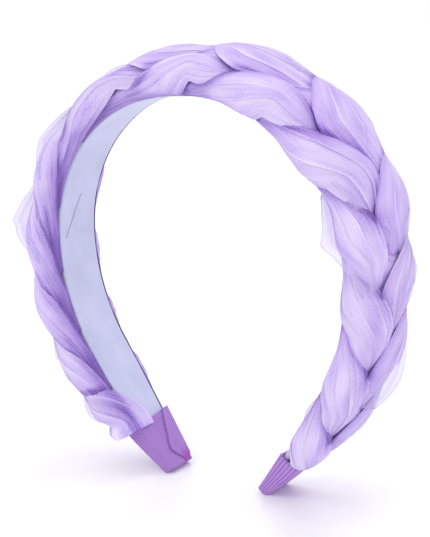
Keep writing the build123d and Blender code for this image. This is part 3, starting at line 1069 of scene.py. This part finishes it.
# The overlap's free edge on the inner face: share of the way up to the mouth, and share of the half-width
FlapLine = namedtuple("FlapLine", "up across")
FLAP_LINE = [
    FlapLine(0.00, 0.30),
    FlapLine(0.10, 0.05),
    FlapLine(0.26, -0.24),
    FlapLine(0.60, 0.12),
    FlapLine(1.05, 0.58),
]

# The mouth's rows past its edge: share of the way up, and how far the ribbon is turned in
MouthRow = namedtuple("MouthRow", "up turn_in")
MOUTH_ROWS = [MouthRow(1.0, 0.8), MouthRow(0.96, 1.0), MouthRow(0.85, 1.0)]

# The rings that close the lower end: share of its size, and of the drop below it
EndRing = namedtuple("EndRing", "size drop")
END_RINGS = [EndRing(0.0, 0.6), EndRing(0.4, 0.6), EndRing(0.8, 0.4)]


def make_tip(tip, material):
    """Grosgrain ribbon wound round one end of the band: raised cords, an overlap and a turned-in mouth."""
    mouth_up = (tip.mouth_front + tip.mouth_back) / 2

    # Outline of the section as shares: across from -1 to 1 and out from 0 at the inner face to 1 at the outer
    width_share, wall_share = 0.36, 0.14
    places = np.cumsum([0, width_share, wall_share, width_share, wall_share])
    at = (np.linspace(0, 2 * pi, TIP_COLUMNS, endpoint=False) / (2 * pi) * places[-1]) % places[-1]
    across_share = np.interp(at, places, [-1, 1, 1, -1, -1])
    out_share = np.interp(at, places, [0, 0, 1, 1, 0])
    inner, outer = (out_share < 0.01)[None, :], (out_share > 0.99)[None, :]

    way_up = np.append(np.linspace(0, 1, TIP_ROWS), [row.up for row in MOUTH_ROWS])[:, None]
    turn_in = np.append(np.zeros(TIP_ROWS), [row.turn_in for row in MOUTH_ROWS])[:, None]
    mouth = mouth_up + (tip.mouth_back - tip.mouth_front) / 2 * across_share
    up = way_up * (mouth + wrap_wall)[None, :] - wrap_wall
    half = band_half(np.maximum(up, 0)) + wrap_wall - turn_in
    low = turn_in - wrap_wall
    high = band_thickness + wrap_wall + tip_mouth_room * np.clip(up, 0, None) / mouth_up - turn_in
    across = across_share * half
    out = low + out_share * (high - low)

    # Round the corners
    to_sides = half - np.abs(across), np.minimum(out - low, high - out)
    bevels = [np.clip(1 - np.maximum(way, 0) / tip_corner_round, 0, 1) for way in to_sides]
    pull = corner_pull * tip_corner_round * bevels[0] * bevels[1]
    across = across - np.sign(across) * pull
    out = out + np.sign((low + high) / 2 - out) * pull

    # Raise the cords and lay the overlap on the inner face
    cord_turns = 2 * pi * np.arange(1, TIP_COLUMNS + 1) / TIP_COLUMNS * tip_cords
    ribs = (0.5 + 0.5 * np.cos(cord_turns))[None, :] ** 0.7
    [line] = along_rows(FLAP_LINE, np.clip(up / mouth_up, 0, 1.05))
    line = line * half
    flap = flap_wall * inner * ease((across - line) / flap_edge + 0.5) * ease(up / 2.0 + 0.2) * (1 - turn_in)
    lift = cord_height * ribs - cord_sink + flap
    out = out + (outer * 1.0 - inner) * lift
    across = across + np.where(inner | outer, 0, np.sign(across)) * lift
    points = on_hoop(tip.side * (half_length - up), across, out)

    # The end turns in and closes, and the lowest corner lies flat on the table
    middle = points[:1].mean(1, keepdims=True)
    drop = (points[1:2] - points[:1]) * 0.4
    ends = [middle + (points[:1] - middle) * ring.size - ring.drop * drop for ring in END_RINGS]
    points = np.concatenate([*ends, points])
    points[..., 2] = np.maximum(points[..., 2], 0)

    # Painted shade between the cords and along the overlap's edge, and magenta low on the overlap
    seam = bell(across - line, 0.35) * inner
    furrow = (1 - ribs) * 0.75 + np.pad(0.8 * seam, ((len(END_RINGS), 0), (0, 0)))
    folded = inner * ease((across / half - 0.1) * 3) * ease(1.2 - 5 * up / mouth_up)
    under = np.pad(folded, ((len(END_RINGS), 0), (0, 0)), "edge")
    furrow, under = np.clip(furrow, 0, 1), np.clip(under, 0, 1)
    piece = sheet_mesh(tip.name, points, closed=True, furrow=furrow, under=under)
    finish_piece(piece, material, "ribbon", tip.node)


# The thread on the lining: share of its length, length down from the top of the hoop, and place across
ThreadPoint = namedtuple("ThreadPoint", "share reach across")
THREAD = [
    ThreadPoint(0.00, 76.4, 0.1),
    ThreadPoint(0.30, 80.7, -1.3),
    ThreadPoint(0.65, 86.8, -3.6),
    ThreadPoint(1.00, 93.2, -7.1),
]
thread_radius = 0.16
thread_depth = 0.12


def make_thread(material):
    """A thread caught on the lining of the left leg, half sunk in the cloth."""
    shares, *fields = zip(*THREAD)
    places = np.linspace(0, 1, THREAD_ROWS)
    reach, across = (np.interp(places, shares, field)[:, None] for field in fields)
    angle = np.linspace(0, 2 * pi, THREAD_COLUMNS, endpoint=False)[None, :]
    side, out = across + thread_radius * np.cos(angle), thread_radius * np.sin(angle) - thread_depth
    piece = sheet_mesh("lining_thread", close_ends(on_hoop(-reach, side, out)), closed=True)
    finish_piece(piece, material, "satin")


organza, folded, sheer = gathered_organza(), folded_organza(), single_organza()
for index in range(strand_count):
    make_strand(index, organza)
for tip in range(1, len(TUCKS)):
    make_leaf(tip, True, folded)
    make_leaf(tip - 1, False, folded)
for number, loop in enumerate(LOOPS):
    make_loop(number, loop, sheer)
make_band(woven_satin())
ribbon = grosgrain()
for tip in TIPS:
    make_tip(tip, ribbon)
make_thread(spun_thread())

# Table, light and camera, in metres

table_half = 6.0
corners = [(-table_half, -table_half, 0), (table_half, -table_half, 0)]
corners += [(table_half, table_half, 0), (-table_half, table_half, 0)]
floor = bpy.data.meshes.new("table")
floor.from_pydata(corners, [], [(0, 1, 2, 3)])
floor.materials.append(pale_card())
table = bpy.data.objects.new("table", floor)
bpy.context.collection.objects.link(table)

studio_light = 1.03
world = bpy.data.worlds.new("studio")
world.use_nodes = True
world.node_tree.nodes["Background"].inputs["Color"].default_value = colour("#FFFFFF")
world.node_tree.nodes["Background"].inputs["Strength"].default_value = studio_light
bpy.context.scene.world = world

Lamp = namedtuple("Lamp", "name place aim size power")
LAMPS = [
    Lamp("key", (-0.35, -0.75, 0.85), (0, 0, 0.07), 0.5, 1.1),
    Lamp("top", (0.1, 0.25, 1.0), (0, 0, 0.07), 0.6, 1.6),
    Lamp("fill", (0.85, -0.70, 0.22), (-0.05, 0, 0.07), 0.6, 0.9),
]
for lamp in LAMPS:
    light = bpy.data.lights.new(lamp.name, "AREA")
    light.energy = lamp.power
    light.size = lamp.size
    holder = bpy.data.objects.new(lamp.name, light)
    bpy.context.collection.objects.link(holder)
    holder.location = lamp.place
    holder.rotation_euler = (Vector(lamp.aim) - Vector(lamp.place)).to_track_quat("-Z", "Y").to_euler()

# The photo's view: turned to the right, a little above and slightly rolled
camera_turn, camera_lift, camera_distance = radians(37.055), radians(14.866), 0.471844
camera_pan, camera_tilt, camera_roll = radians(-0.185), radians(-1.66), radians(-3.683)
camera_aim = (0, 0, 0.0665)
focal_pixels, photo_height, sensor_width = 1300, 537, 36


def away(turn, lift):
    """A direction from the headband: turned to the right from the front, and lifted."""
    return Vector((sin(turn) * cos(lift), -cos(turn) * cos(lift), sin(lift)))


behind = away(camera_turn + camera_pan, camera_lift + camera_tilt)
level = Vector((cos(camera_turn + camera_pan), sin(camera_turn + camera_pan), 0))
upright = behind.cross(level)
right = level * cos(camera_roll) + upright * sin(camera_roll)
up = upright * cos(camera_roll) - level * sin(camera_roll)
lens = bpy.data.cameras.new("camera")
lens.sensor_width = sensor_width
lens.lens = focal_pixels / photo_height * sensor_width
lens.clip_start, lens.clip_end = 0.01, 50
camera = bpy.data.objects.new("camera", lens)
bpy.context.collection.objects.link(camera)
place = Vector(camera_aim) + away(camera_turn, camera_lift) * camera_distance
camera.matrix_world = Matrix.Translation(place) @ Matrix((right, up, behind)).transposed().to_4x4()
bpy.context.scene.camera = camera
bpy.context.scene.view_settings.view_transform = "Standard"
